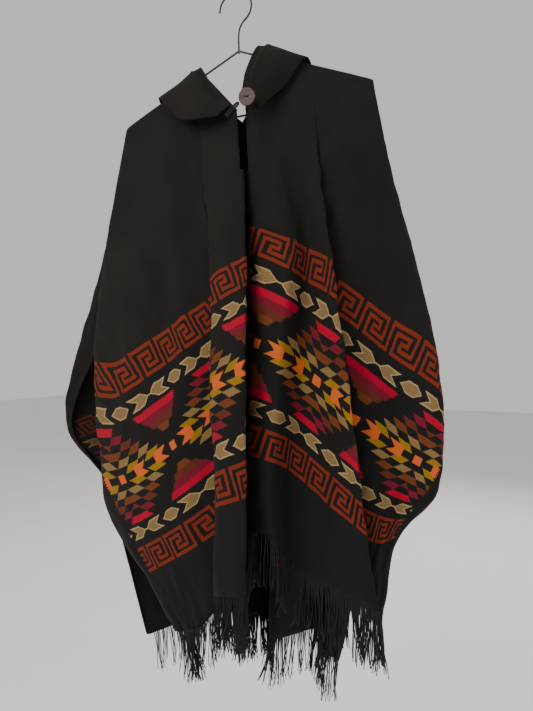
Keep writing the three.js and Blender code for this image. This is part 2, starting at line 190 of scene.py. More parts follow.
# The hood's gathered casing, measured from its face edge.
CASING_MIDDLE = 8
CASING_HALF = 6.5
CASING_SEAM = 17.5
CASING_LIFT = 2.6
RIB_PITCH = 7.5
HOOD_SOFTNESS = 1.8
HOOD_GRID = (40, 200)
HOOD_PLACE_ON_CUT = 600         # keeps the hood's cloth away from the body's on the map
BACK_CREASES = (
    dict(start=(100, 60), end=(300, 480), depth=5, width=26),
    dict(start=(190, 120), end=(420, 560), depth=-5, width=30),
    dict(start=(-110, 70), end=(-310, 500), depth=5, width=24),
    dict(start=(-200, 120), end=(-440, 600), depth=-5, width=30),
    dict(start=(-60, 200), end=(-120, 620), depth=4, width=18),
    dict(start=(60, 180), end=(110, 600), depth=4, width=18),
    dict(start=(-380, 620), end=(-420, 905), depth=4, width=22),
    dict(start=(250, 640), end=(300, 905), depth=-4, width=22),
)

# ---- hanger, button and loop ----------------------------------------------
HOOK_RADIUS = 27.5
HOOK_CENTRE = (-6, -26)
HOOK_MOUTH = 200                # degrees of the hook's round part
SHANK = ((16, -42), (4, -54), (0, -66), (0, -84))
NECK_Z = -94
ARM_TIP = (206, -184)
BAR_Z = -197
BUTTON_PLACE = (48, -74, -208)
BUTTON_DISH = 0.0006            # metres, at the rim
HOLE_ASIDE = 2.3
THREAD_RADIUS = 0.32
LOOP_HALF = 1.9                 # between the middle of the loop and each run of its cord
LOOP_ROUTE = ((12, -67, -226), (19, -71, -223), (27, -74, -219), (33, -75, -216))

# ---- the woven band, on the flat cloth -------------------------------------
BAND_FOOT = 118                 # plain cloth between the band and the hem
BAND_HEIGHT = 352
BAND_HALF_WIDTH = 546           # the coloured yarns stop just short of the selvedges
FRET_PITCH = 50
FRET_START = 28                 # where one unit's long bar stands, from the middle
FRET_COLUMN = 10                # between the fret's upright lines
FRET_ROW = 10.6                 # between its level lines
FRET_LINE_HALF = 2.1
FRET_LEVEL_HALF = 3.1
FRET_TOPS = (0, 303)            # tops of the two frets, down from the band's top
CHAIN_MIDDLES = (75, 277)
CHAIN_PITCH = 125               # between the crossings of the feather chain
FIELD_MIDDLE = 176
FIELD_PITCH = 250               # between the diamonds
FIELD_ROW = 12.7                # height of a row of lozenges
OUTER_RING = 94.6               # middle of the outer ring's middle lozenge, from the diamond's
INNER_RING = 46.7
RING_STEP = 13.6                # a row further from the middle is this much nearer
LOZENGE_HALF = 12.4
LOZENGE_LEAN = 0.95             # of its sides, for each unit of its height
SMALL_SQUARE_HALF = 7.6
# Yarn colours by the row's distance from the field's middle row, and the half width of
# the stepped triangle between two diamonds in that row.
FIELD_ROWS = (
    dict(yarn="orange", colour=(0.56, 0.105, 0.018), triangle=0),
    dict(yarn="mustard", colour=(0.26, 0.145, 0.006), triangle=0),
    dict(yarn="tan", colour=(0.21, 0.125, 0.045), triangle=0),
    dict(yarn="brown", colour=(0.135, 0.037, 0.009), triangle=14),
    dict(yarn="russet", colour=(0.105, 0.021, 0.011), triangle=28),
    dict(yarn="crimson", colour=(0.15, 0.008, 0.020), triangle=38),
    dict(yarn="red", colour=(0.36, 0.002, 0.022), triangle=47),
)
SHEEN_FADE_TOP = 420            # where the painted warm sheen starts to turn towards the cloth's bluish lower colour
WARP_PITCH = 1.5
WEFT_PITCH = 1.9
RUBBED_STEEL = (0.12, 0.12, 0.12)
FRET_COLOUR = (0.175, 0.020, 0.007)
CREAM = (0.34, 0.235, 0.105)
FEATHER_FILL = (0.155, 0.088, 0.034)


# ---- settings --------------------------------------------------------------
def distance_setting(name, description, default):
    return bpy.props.FloatProperty(
        name=name, description=description, default=default, unit="LENGTH")


def colour_setting(name, description, default):
    return bpy.props.FloatVectorProperty(
        name=name, description=description, default=default, subtype="COLOR", size=3)


def count_setting(name, description, default):
    return bpy.props.IntProperty(name=name, description=description, default=default, min=1)


class ClothSettings(bpy.types.PropertyGroup):
    """Sizes and colours of the woven cloth."""
    thickness: distance_setting("Thickness", "Thickness of the brushed cloth", 0.0024)
    # The warm tone of the ground is a painted sheen on the upper cloth; towards the hem it turns to
    # the bluish lower ground.
    ground: colour_setting("Ground", "Colour of the plain cloth", (0.0094, 0.0086, 0.0076))
    low_sheen_ground: colour_setting(
        "Lower ground", "Colour of the plain cloth near the hem", (0.0072, 0.0080, 0.0092))
    reverse: colour_setting(
        "Reverse", "Colour of the cloth's wrong side", (0.0080, 0.0068, 0.0060))
    ripple: distance_setting("Ripple", "Height of the cloth's small unevenness", 0.0011)
    steps_across: count_setting("Steps across a fold", "Mesh steps between two fold lines", 9)
    steps_down: count_setting("Steps down", "Mesh steps from shoulder to hem", 100)


class FringeSettings(bpy.types.PropertyGroup):
    """Sizes and colour of the fringes."""
    length: distance_setting("Length", "Longest strand", 0.079)
    spacing: distance_setting("Spacing", "Between strands along the flat hem", 0.0021)
    strand: distance_setting("Strand", "Radius of a twisted strand", 0.00085)
    colour: colour_setting("Colour", "Colour of the yarn", (0.0080, 0.0080, 0.0090))


class FittingSettings(bpy.types.PropertyGroup):
    """Sizes and colours of the hanger, the button and its loop."""
    wire: distance_setting("Wire", "Radius of the hanger's wire", 0.0015)
    wire_colour: colour_setting("Wire colour", "Lacquer of the hanger", (0.012, 0.014, 0.016))
    button_radius: distance_setting("Button", "Radius of the button", 0.0122)
    button_thickness: distance_setting("Button thickness", "Thickness of the button", 0.0032)
    shell: colour_setting("Shell", "Colour of the coconut shell", (0.062, 0.031, 0.017))
    cord: distance_setting("Cord", "Radius of the loop's cord", 0.0015)


class StageSettings(bpy.types.PropertyGroup):
    """The floor, the light and the camera."""
    camera_azimuth: bpy.props.FloatProperty(
        name="Azimuth", description="The camera's angle round the garment",
        default=math.radians(22.6), subtype="ANGLE")
    camera_place: bpy.props.FloatVectorProperty(
        name="Camera", description="The camera's place", default=(0.363, -0.759, -0.573),
        subtype="TRANSLATION", size=3)
    lens: bpy.props.FloatProperty(
        name="Lens", description="Focal length in millimetres", default=27.04)
    floor_drop: distance_setting("Floor", "Floor below the garment's lowest point", 0.35)
    floor_colour: colour_setting(
        "Floor colour", "Colour of the floor and the air", (0.78, 0.77, 0.75))


SETTING_GROUPS = {
    "poncho_cloth": ClothSettings,
    "poncho_fringe": FringeSettings,
    "poncho_fitting": FittingSettings,
    "poncho_stage": StageSettings,
}


# ---- shader maths ----------------------------------------------------------
class Number:
    """A number that varies over a surface: one socket, with Python's operators."""

    def __init__(self, finish, socket):
        self.finish = finish
        self.socket = socket

    def math(self, operation, *others):
        inputs = dict(enumerate((self, *others)))
        made = self.finish.node("ShaderNodeMath", {"operation": operation}, inputs)
        return Number(self.finish, made.outputs[0])

    def __add__(self, other):
        return self.math("ADD", other)

    def __sub__(self, other):
        return self.math("SUBTRACT", other)

    def __mul__(self, other):
        return self.math("MULTIPLY", other)

    def __truediv__(self, other):
        return self.math("DIVIDE", other)

    def __rsub__(self, other):
        return (self * -1) + other

    __radd__ = __add__
    __rmul__ = __mul__

    def __abs__(self):
        return self.math("ABSOLUTE")

    def __lt__(self, other):
        return self.math("LESS_THAN", other)

    def __gt__(self, other):
        return self.math("GREATER_THAN", other)

    def __or__(self, other):
        return self.math("MAXIMUM", other)

    def __and__(self, other):
        return self * other

    def least(self, other):
        return self.math("MINIMUM", other)

    def down_to(self, step):
        return self.math("SNAP", step)

    def within(self, pitch):
        return self.math("WRAP", pitch, 0)

    def from_nearest(self, pitch):
        """Distance to the nearest multiple of pitch."""
        return abs(self.math("WRAP", pitch / 2, -pitch / 2))


class Finish:
    """One material's nodes, all made by the method node."""

    def __init__(self, name):
        self.material = bpy.data.materials.new(name)
        self.material.use_nodes = True
        self.tree = self.material.node_tree
        self.tree.nodes.clear()

    def node(self, kind, settings=None, inputs=None):
        made = self.tree.nodes.new(kind)
        for name, value in (settings or {}).items():
            if name == "stops":
                self.set_stops(made.color_ramp, value)
            elif name == "steps":
                made.color_ramp.interpolation = value
            else:
                setattr(made, name, value)
        for name, value in (inputs or {}).items():
            socket = made.inputs[name]
            if isinstance(value, Number):
                self.tree.links.new(value.socket, socket)
            elif isinstance(value, bpy.types.NodeSocket):
                self.tree.links.new(value, socket)
            else:
                socket.default_value = value
        return made

    def set_stops(self, ramp, stops):
        while len(ramp.elements) < len(stops):
            ramp.elements.new(1.0)
        for element, (place, colour) in zip(ramp.elements, stops):
            element.position = place
            element.color = (*colour, 1.0)

    def number(self, socket):
        return Number(self, socket)

    def noise(self, scale, detail=2.0, where=None, roughness=0.5):
        """Uneven numbers about 0.5, in the cloth's own places unless where is given."""
        inputs = {"Scale": scale, "Detail": detail, "Roughness": roughness}
        if where is not None:
            inputs["Vector"] = where
        made = self.node("ShaderNodeTexNoise", {"noise_dimensions": "3D"}, inputs)
        return self.number(made.outputs[0])

    def blend(self, share, first, second):
        """The colour first, or second where share is 1."""
        inputs = {0: share, 6: self.colour(first), 7: self.colour(second)}
        made = self.node("ShaderNodeMix", {"data_type": "RGBA"}, inputs)
        return made.outputs[2]

    def times(self, colour, share):
        """The colour made lighter or darker by a number."""
        value = colour if isinstance(colour, bpy.types.NodeSocket) else tuple(colour)
        made = self.node("ShaderNodeVectorMath", {"operation": "SCALE"}, {0: value, 3: share})
        return made.outputs[0]

    def colour(self, value):
        """A colour in the form that a colour socket takes."""
        return value if isinstance(value, bpy.types.NodeSocket) else (*value, 1.0)

    def own_places(self):
        """Places on the object itself, in metres."""
        return self.node("ShaderNodeTexCoord").outputs["Object"]

    def surface(self, colour, roughness, constants, height=None, strength=0.0, depth=0.0):
        """Finish the material, with a bump of this strength and depth from its height."""
        inputs = {"Base Color": colour, "Roughness": roughness, **constants}
        if height is not None:
            bump = self.node("ShaderNodeBump", None, {
                "Strength": strength, "Distance": depth, "Height": height})
            inputs["Normal"] = bump.outputs[0]
        shader = self.node("ShaderNodeBsdfPrincipled", None, inputs)
        self.node("ShaderNodeOutputMaterial", None, {0: shader.outputs[0]})
        return self.material


def in_range(value, low, high):
    return (value > low) & (value < high)


# ---- the woven pattern -----------------------------------------------------
def fret_mask(across, down):
    """The key fret: one line that winds in, turns back and goes on to the next unit."""
    place = (across - FRET_START).within(FRET_PITCH)
    beside = (across - FRET_START).from_nearest(FRET_PITCH)
    first = FRET_LEVEL_HALF

    def level(row, start, end):
        reach = FRET_LINE_HALF
        near = abs(down - (first + row * FRET_ROW)) < FRET_LEVEL_HALF
        return near & in_range(place, start * FRET_COLUMN - reach, end * FRET_COLUMN + reach)

    def upright(distance, top, bottom):
        near = distance < FRET_LINE_HALF
        return near & in_range(down, top * FRET_ROW, bottom * FRET_ROW + 2 * first)

    drawn = level(0, 0, 4) | level(4, 1, 5) | level(1, 1, 3) | level(3, 2, 4) | level(2, 2, 3)
    drawn = drawn | upright(beside, 0, 4)
    drawn = drawn | upright(abs(place - 4 * FRET_COLUMN), 0, 3)
    drawn = drawn | upright(abs(place - FRET_COLUMN), 1, 4)
    drawn = drawn | upright(abs(place - 3 * FRET_COLUMN), 1, 2)
    return drawn | upright(abs(place - 2 * FRET_COLUMN), 2, 3)


def feather_depth(along, off):
    """How deep a place is inside the feather chain, in mm; below 0 is outside.

    along is the distance from the nearest crossing and off from the chain's middle."""
    nose = (along * 0.88 - 2.0).least(12.0)
    tail = (off - (along - 27) * 0.8).least((43 - along) * 1.4)
    body = (nose - off).least(tail)
    thread = (1.5 - off).least((12 - along))
    pod_along = abs(along - CHAIN_PITCH / 2)
    pod = ((20 - pod_along) * 0.82).least(11.0) - off
    return body | thread | pod


def tulip_mask(offset, off):
    """The orange block of a ring's middle row: its base faces the diamond's middle."""
    base = off < ((offset + 24) * 0.75).least(11.5)
    fork = off > (offset - 2) * 0.85
    return base & fork & in_range(offset, -14, 16)


def field_masks(across, off):
    """Where the rows of coloured yarn show, and where the orange blocks do."""
    aside = across.from_nearest(FIELD_PITCH).down_to(1.7)
    between = FIELD_PITCH / 2 - aside
    row = (off / FIELD_ROW + 0.5).math("FLOOR")
    rise = (off - row * FIELD_ROW).down_to(1.8)
    lean = rise * LOZENGE_LEAN
    outer = abs(aside - lean - (OUTER_RING - RING_STEP * row)) < LOZENGE_HALF
    inner = (abs(aside - lean - (INNER_RING - RING_STEP * row)) < LOZENGE_HALF) & (row < 3.5)
    closing = (aside < LOZENGE_HALF) & (row > 5.5)
    spur = (aside < lean + 5) & in_range(row, 3.5, 4.5)
    widths = [(k / 8 + 0.01, (fold["triangle"] / 50,) * 3) for k, fold in enumerate(FIELD_ROWS)]
    ramp = across.finish.node("ShaderNodeValToRGB", {"stops": widths, "steps": "CONSTANT"},
                              {0: row / 8 + 0.03})
    reach = across.finish.number(ramp.outputs[0]) * 50
    serrated = between + abs(off.from_nearest(FIELD_ROW / 2) - 1.6) * 2.2 - rise * 0.5
    triangle = (serrated < reach) & (row > 2.5)
    rows = (outer | inner | closing | spur | triangle) & (row > 0.5) & (row < 6.5)
    blocks = tulip_mask(aside - OUTER_RING, off) | tulip_mask(aside - INNER_RING, off)
    square = (aside.least(between) < SMALL_SQUARE_HALF) & (off < SMALL_SQUARE_HALF)
    return rows, blocks | square, row


def woven_colour(finish, across, down, ground, grain):
    """The band's colours over the ground. down is from the band's top edge."""
    shift = (finish.noise(160, 1, finish.cut) - 0.5) * 2.2
    across = across + shift
    down = down + (finish.noise(120, 1, finish.cut) - 0.5) * 1.6
    low_fret = down - FRET_TOPS[1]
    in_upper = down < BAND_HEIGHT / 2
    fret_down = down * in_upper + low_fret * (1 - in_upper)
    fret = fret_mask(across, fret_down)
    chain = abs(down - CHAIN_MIDDLES[0]).least(abs(down - CHAIN_MIDDLES[1]))
    serration = abs(across.from_nearest(4.2) - 1) * 0.7
    depth = feather_depth(across.from_nearest(CHAIN_PITCH), chain + serration * 0.6)
    rows, blocks, row = field_masks(across, abs(down - FIELD_MIDDLE))
    stops = [(k / 8 + 0.01, fold["colour"]) for k, fold in enumerate(FIELD_ROWS)]
    row_colour = finish.node("ShaderNodeValToRGB", {"stops": stops, "steps": "CONSTANT"},
                             {0: row / 8 + 0.03}).outputs[0]
    comb = abs(down.within(5) - 2.5) * 2
    wide = abs(across) + comb < BAND_HALF_WIDTH + 4
    colour = finish.blend(fret & wide, ground, FRET_COLOUR)
    colour = finish.blend((depth > 0) & wide, colour, CREAM)
    barbs = (across + chain).within(3.4) < 1.2
    inside = (depth > 2.6) & wide
    colour = finish.blend(inside * (0.9 - barbs * 0.45), colour, FEATHER_FILL)
    colour = finish.blend(rows & wide, colour, row_colour)
    colour = finish.blend(blocks & wide, colour, FIELD_ROWS[0]["colour"])
    speck = (grain - 0.5) * 1.5 + 0.92
    return finish.times(colour, speck)


def cloth_finish(name, settings, pattern=1.0, right_side=True):
    """Brushed woven cloth, with the band as strong as pattern says."""
    finish = Finish(name)
    uv = finish.node("ShaderNodeUVMap", {"uv_map": CUT_MAP}).outputs[0]
    finish.cut = uv
    parts = finish.node("ShaderNodeSeparateXYZ", None, {0: uv})
    across = finish.number(parts.outputs[0]) / MM
    above_hem = finish.number(parts.outputs[1]) / MM
    grain = finish.noise(900, 2, uv, 0.7)
    cloud = finish.noise(14, 3, uv)
    if right_side:
        # Painted sheen: the plain cloth is warm above and turns bluish towards the hem.
        low = ((SHEEN_FADE_TOP - above_hem) / SHEEN_FADE_TOP).least(1.0) | 0.0
        plain = finish.blend(low, settings.ground, settings.low_sheen_ground)
    else:
        plain = settings.reverse
    nap = (cloud - 0.5) * 0.7 + (grain - 0.5) * 0.9 + 1.0
    colour = finish.times(plain, nap)
    if pattern:
        woven = woven_colour(finish, across, BAND_FOOT + BAND_HEIGHT - above_hem, plain, grain)
        in_band = in_range(above_hem, BAND_FOOT, BAND_FOOT + BAND_HEIGHT)
        colour = finish.blend(in_band * pattern, colour, woven)
    warp = across.within(WARP_PITCH) - WARP_PITCH / 2
    weft = above_hem.within(WEFT_PITCH) - WEFT_PITCH / 2
    height = grain * 0.7 + finish.noise(260, 2, uv) * 0.5 + abs(warp * weft) * 0.25
    constants = {"Specular IOR Level": 0.12, "Sheen Weight": 0.035, "Sheen Roughness": 0.5,
                 "Sheen Tint": (0.62, 0.5, 0.42, 1.0)}
    return finish.surface(colour, 0.86 + (grain - 0.5) * 0.2, constants, height, 0.35, 0.0012)


def yarn_finish(name, colour):
    """Twisted yarn, uneven along its length."""
    finish = Finish(name)
    ply = finish.noise(700, 2, finish.own_places())
    tone = finish.noise(60, 2, finish.own_places())
    shade = finish.times(colour, (ply - 0.5) * 1.2 + (tone - 0.5) * 0.8 + 1.0)
    constants = {"Specular IOR Level": 0.25, "Sheen Weight": 0.05}
    return finish.surface(shade, 0.8, constants, ply, 0.4, 0.0006)


def shell_finish(name, colour):
    """Polished coconut shell, mottled and flecked."""
    finish = Finish(name)
    mottle = finish.noise(420, 4, finish.own_places(), 0.65)
    flecks = finish.noise(1300, 2, finish.own_places())
    dark = tuple(part * 0.28 for part in colour)
    pale = tuple(part * 2.3 for part in colour)
    shade = finish.blend(((mottle - 0.42) * 5).least(1.0) | 0.0, dark, colour)
    shade = finish.blend(((flecks - 0.6) * 8).least(0.8) | 0.0, shade, pale)
    constants = {"Coat Weight": 0.25, "Coat Roughness": 0.3}
    return finish.surface(shade, (mottle - 0.5) * 0.4 + 0.42, constants, mottle, 0.3, 0.0004)


def wire_finish(name, colour):
    """Lacquered wire with small rubbed places."""
    finish = Finish(name)
    wear = finish.noise(90, 4, finish.own_places())
    rubbed = ((wear - 0.62) * 9).least(1.0) | 0.0
    shade = finish.blend(rubbed * 0.5, colour, RUBBED_STEEL)
    return finish.surface(shade, wear * 0.3 + 0.28, {"Metallic": 0.3}, wear, 0.15, 0.0003)


def floor_finish(name, colour):
    """Plain pale floor, very slightly uneven."""
    finish = Finish(name)
    mottle = finish.noise(3, 3, finish.own_places())
    shade = finish.times(colour, (mottle - 0.5) * 0.05 + 1.0)
    return finish.surface(shade, 0.9, {})


# ---- the cloth's form ------------------------------------------------------
def curve_through(rows, stops, places):
    """Rows of numbers at stops, smoothly interpolated at places."""
    rows = np.asarray(rows, float)
    stops = np.asarray(stops, float)
    last = len(stops) - 1
    index = np.clip(np.searchsorted(stops, places, side="left") - 1, 0, last - 1)
    before = np.maximum(index - 1, 0)
    after = np.minimum(index + 2, last)
    span = stops[index + 1] - stops[index]
    t = ((places - stops[index]) / span)[:, None]
    leaving = (rows[index + 1] - rows[before]) / (stops[index + 1] - stops[before])[:, None]
    arriving = (rows[after] - rows[index]) / (stops[after] - stops[index])[:, None]
    span = span[:, None]
    t2 = t * t
    t3 = t2 * t
    return ((2 * t3 - 3 * t2 + 1) * rows[index] + (t3 - 2 * t2 + t) * leaving * span
            + (3 * t2 - 2 * t3) * rows[index + 1] + (t3 - t2) * arriving * span)


WIRE_CLEARANCE = 3.4
SEAM_HALF = 0.15


def cloth_grid(folds, levels, side, places, level_list):
    """Points (places, levels, 3) in mm and the flat place u (places, levels)."""
    over_wire = 1 - np.exp(-level_list / 3)
    reached = np.maximum(level_list - 3 * over_wire, 0)
    stops = np.arange(len(folds))
    grids = []
    for axis in ("x", "y", "z", "u"):
        table = np.array([row[axis] for row in folds], float)
        columns = curve_through(table, stops, places)
        columns[:, 0] = np.interp(places, stops, table[:, 0])
        grids.append(curve_through(columns.T, levels, reached).T)
    x, y, z, u = grids
    y = y + side * (SEAM_HALF + WIRE_CLEARANCE * over_wire)[None, :]
    return np.stack([x, y, z + WIRE_CLEARANCE], axis=2), u


def grid_normals(points):
    along = np.gradient(points, axis=0)
    down = np.gradient(points, axis=1)
    normal = np.cross(along, down)
    return normal / np.maximum(np.linalg.norm(normal, axis=2, keepdims=True), 1e-9)


def crease_lift(creases, u, level_list):
    """How far the cloth stands out at each grid place, from the table of creases."""
    v = np.broadcast_to(level_list, u.shape)
    lift = np.zeros(u.shape)
    for crease in creases:
        start = np.array(crease["start"], float)
        run = np.array(crease["end"], float) - start
        length = np.hypot(*run)
        share = ((u - start[0]) * run[0] + (v - start[1]) * run[1]) / length ** 2
        away = ((u - start[0]) * run[1] - (v - start[1]) * run[0]) / length
        bow = 0.06 * length * np.sin(np.pi * np.clip(share, 0, 1))
        fade = np.clip(share * (1 - share) * 4, 0, 1) ** 0.8
        lift += crease["depth"] * fade * np.exp(-((away - bow) / crease["width"]) ** 2)
    return lift


def small_ripples(u, level_list, height):
    """A soft unevenness, longer down the cloth than across it."""
    v = np.broadcast_to(level_list, u.shape)
    total = np.zeros(u.shape)
    for across, down, phase in ((31, 140, 0.3), (47, 210, 1.7), (23, 95, 2.9), (67, 120, 4.1)):
        total += np.sin(2 * np.pi * u / across + phase + 1.3 * np.sin(2 * np.pi * v / down))
    rise = np.clip((level_list - 20) / 160, 0, 1)
    return total * height * 0.5 * rise[None, :]


def wall_mesh(name, points, cut, thickness, keep=None):
    """A closed shell on a grid of points in mm. Its slot 0 is the side away from the
    grid's normals and slot 1 the other side. cut is the grid's UV map."""
    rows, columns = points.shape[:2]
    normals = grid_normals(points)
    layers = [points - normals * thickness / 2, points + normals * thickness / 2]
    vertices = np.concatenate([layer.reshape(-1, 3) for layer in layers]) * MM
    count = rows * columns
    number = np.arange(count).reshape(rows, columns)
    kept = np.ones((rows - 1, columns - 1), bool) if keep is None else keep
    framed = np.zeros((rows + 1, columns + 1), bool)
    framed[1:-1, 1:-1] = kept
    faces, slots = [], []

    def quads(a, b, c, d, slot):
        found = np.stack([a, b, c, d], axis=-1).reshape(-1, 4)
        faces.append(found)
        slots.append(np.full(len(found), slot))

    a, b = number[:-1, :-1][kept], number[1:, :-1][kept]
    c, d = number[1:, 1:][kept], number[:-1, 1:][kept]
    quads(a, d, c, b, 0)
    quads(a + count, b + count, c + count, d + count, 1)
    for i_step, j_step, ends in ((-1, 0, (a, d)), (1, 0, (c, b)), (0, -1, (b, a)), (0, 1, (d, c))):
        beyond = framed[1 + i_step:rows + i_step, 1 + j_step:columns + j_step][kept]
        first, second = (end[~beyond] for end in ends)
        quads(first, first + count, second + count, second, 0)
    faces = np.concatenate(faces)
    mesh = bpy.data.meshes.new(name)
    mesh.from_pydata(vertices.tolist(), [], faces.tolist())
    mesh.polygons.foreach_set("material_index", np.concatenate(slots))
    mesh.polygons.foreach_set("use_smooth", np.ones(len(faces), bool))
    layer = mesh.uv_layers.new(name=CUT_MAP)
    flat = np.concatenate([cut.reshape(-1, 2)] * 2) * MM
    loops = np.zeros(len(mesh.loops), np.int32)
    mesh.loops.foreach_get("vertex_index", loops)
    layer.data.foreach_set("uv", flat[loops].astype(np.float32).ravel())
    mesh.validate()
    mesh.update()
    return mesh


def add_piece(name, mesh, nodes, materials):
    """A finished mesh as a piece that rides on the garment and stands for its nodes."""
    piece = bpy.data.objects.new(name, mesh)
    bpy.context.scene.collection.objects.link(piece)
    for material in materials:
        mesh.materials.append(material)
    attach(piece, BODY)
    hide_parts(*nodes)
    return piece


TUBE_SIDE_HINT = (0.31, 0.85, 0.42)     # along none of the paths


def tube_arrays(path, radii, sides):
    """Points and faces of a tube along a path of points, in the path's own unit."""
    path = np.asarray(path, float)
    count = len(path)
    direction = np.gradient(path, axis=0)
    direction /= np.linalg.norm(direction, axis=1, keepdims=True)
    side = np.cross(direction[0], TUBE_SIDE_HINT)
    turn = np.linspace(0, 2 * np.pi, sides, endpoint=False)
    rings = []
    for place, heading, radius in zip(path, direction, np.broadcast_to(radii, count)):
        side = side - heading * np.dot(side, heading)
        side /= np.linalg.norm(side)
        other = np.cross(heading, side)
        rings.append(place + radius * (np.cos(turn)[:, None] * side + np.sin(turn)[:, None] * other))
    faces = []
    for ring in range(0, (count - 1) * sides, sides):
        for j in range(sides):
            k = (j + 1) % sides
            faces.append((ring + j, ring + k, ring + sides + k, ring + sides + j))
    faces.append(tuple(reversed(range(sides))))
    faces.append(tuple((count - 1) * sides + j for j in range(sides)))
    return np.concatenate(rings), faces


def joined_mesh(name, parts):
    """One mesh from several (points in mm, faces) pairs."""
    points, faces, offset = [], [], 0
    for part_points, part_faces in parts:
        points.append(np.asarray(part_points))
        faces += [tuple(corner + offset for corner in face) for face in part_faces]
        offset += len(part_points)
    mesh = bpy.data.meshes.new(name)
    mesh.from_pydata((np.concatenate(points) * MM).tolist(), [], faces)
    mesh.polygons.foreach_set("use_smooth", np.ones(len(faces), bool))
    mesh.update()
    return mesh


def rounded_path(points, step):
    """A smooth path through a few points, with a point about every step."""
    points = np.asarray(points, float)
    stops = np.concatenate([[0], np.cumsum(np.linalg.norm(np.diff(points, axis=0), axis=1))])
    places = np.linspace(0, stops[-1], max(int(stops[-1] / step), 2) + 1)
    return curve_through(points, stops, places)


# ---- panels and fringes ----------------------------------------------------
SLIT_LENGTH = 130
SHOULDER_LEVELS = (0.4, 1.2, 2.4, 4, 6.5, 10, 15, 22)
BUNCH = 5                       # strands that gather towards one another
STRAND_POINTS = 8
BUNCH_SWAY = (5, 5, 0)
STRAND_STRAY = (3.2, 3.2, 0.6)
STRAND_CURL = 1.3
STRAND_ROOT = 1.5               # how far a strand starts inside the hem
FRINGE_SPLIT = 80               # from the left ridge to where the front's two strips meet


def fold_index(folds, name):
    return [row["fold"] for row in folds].index(name)


def panel_levels(length, steps, must_have=()):
    even = np.linspace(SHOULDER_LEVELS[-1], length, steps)[1:]
    for level in must_have:
        even[np.argmin(abs(even - level))] = level
    return np.concatenate([SHOULDER_LEVELS, even])


def panel(settings, folds, levels, side, length, creases, must_have=()):
    """A panel's grid in mm, its cut map and its level list."""
    places = np.linspace(0, len(folds) - 1, (len(folds) - 1) * settings.steps_across + 1)
    level_list = panel_levels(length, settings.steps_down, must_have)
    points, u = cloth_grid(folds, levels, side, places, level_list)
    lift = crease_lift(creases, u, level_list) + small_ripples(u, level_list, settings.ripple / MM)
    near_neck = np.clip((level_list - 8) / 60, 0, 1)
    outwards = grid_normals(points) * side
    points = points + outwards * (lift * near_neck[None, :])[:, :, None]
    above_hem = np.broadcast_to(length - level_list, u.shape)
    return points, np.stack([u, above_hem], axis=2), level_list


def hem_at(points, cut, flat_places):
    """The hem's points and the cloth's direction there, at places across the flat hem."""
    order = cut[:, -1, 0]
    rising = np.maximum.accumulate(order + np.arange(len(order)) * 1e-6)
    index = np.interp(flat_places, rising, np.arange(len(order)))

    def sample(line):
        return np.stack([np.interp(index, np.arange(len(line)), line[:, k]) for k in range(3)], 1)

    hem = sample(points[:, -1])
    lean = hem - sample(points[:, -3])
    return hem, lean / np.linalg.norm(lean, axis=1, keepdims=True)


def fringe_parts(settings, points, cut, low, high, seed):
    """Strands that hang from the hem between two flat places, in loose small bunches."""
    chance = np.random.default_rng(seed)
    spacing = settings.spacing / MM
    flat = np.arange(low, high, spacing)
    flat = flat + chance.uniform(-0.3, 0.3, len(flat)) * spacing
    hem, lean = hem_at(points, cut, np.clip(flat, -HALF_WIDTH + 2, HALF_WIDTH - 2))
    bunch = np.arange(len(flat)) // BUNCH
    steps = np.linspace(0, 1, STRAND_POINTS)
    parts = []
    for group in range(bunch.max() + 1):
        members = np.nonzero(bunch == group)[0]
        middle = hem[members].mean(axis=0)
        sway = chance.normal(0, 1, 3) * BUNCH_SWAY
        for strand in members:
            length = settings.length / MM * chance.uniform(0.78, 1.0)
            reach = steps * length
            bend = (1 - steps)[:, None] * lean[strand] * 0.8
            bend[:, 2] -= 1.1 * steps + 0.55
            bend /= np.linalg.norm(bend, axis=1, keepdims=True)
            run = np.cumsum(bend[1:] * np.diff(reach)[:, None], 0)
            path = hem[strand] + np.concatenate([[np.zeros(3)], run])
            gather = (middle - hem[strand]) * 0.55
            path += gather * np.sin(steps * np.pi * 0.62)[:, None]
            path += sway * (steps ** 1.6)[:, None]
            loose = chance.normal(0, 1, 3) * STRAND_STRAY
            wave = chance.uniform(0, 6.28)
            path += loose * (steps ** 1.4)[:, None]
            path[:, 0] += STRAND_CURL * np.sin(steps * 7 + wave) * steps
            path[:, 1] += STRAND_CURL * np.cos(steps * 6 + wave) * steps
            path[0] -= lean[strand] * STRAND_ROOT
            radius = settings.strand / MM * (1.08 - 0.35 * steps)
            parts.append(tube_arrays(path, radius, 4))
    return parts


# ---- operators -------------------------------------------------------------
LAMP_AIM = (0, 0, -0.55)
FLOOR_HALF = 9.0
AIR_STRENGTH = 0.85
WIRE_SIDES = 12


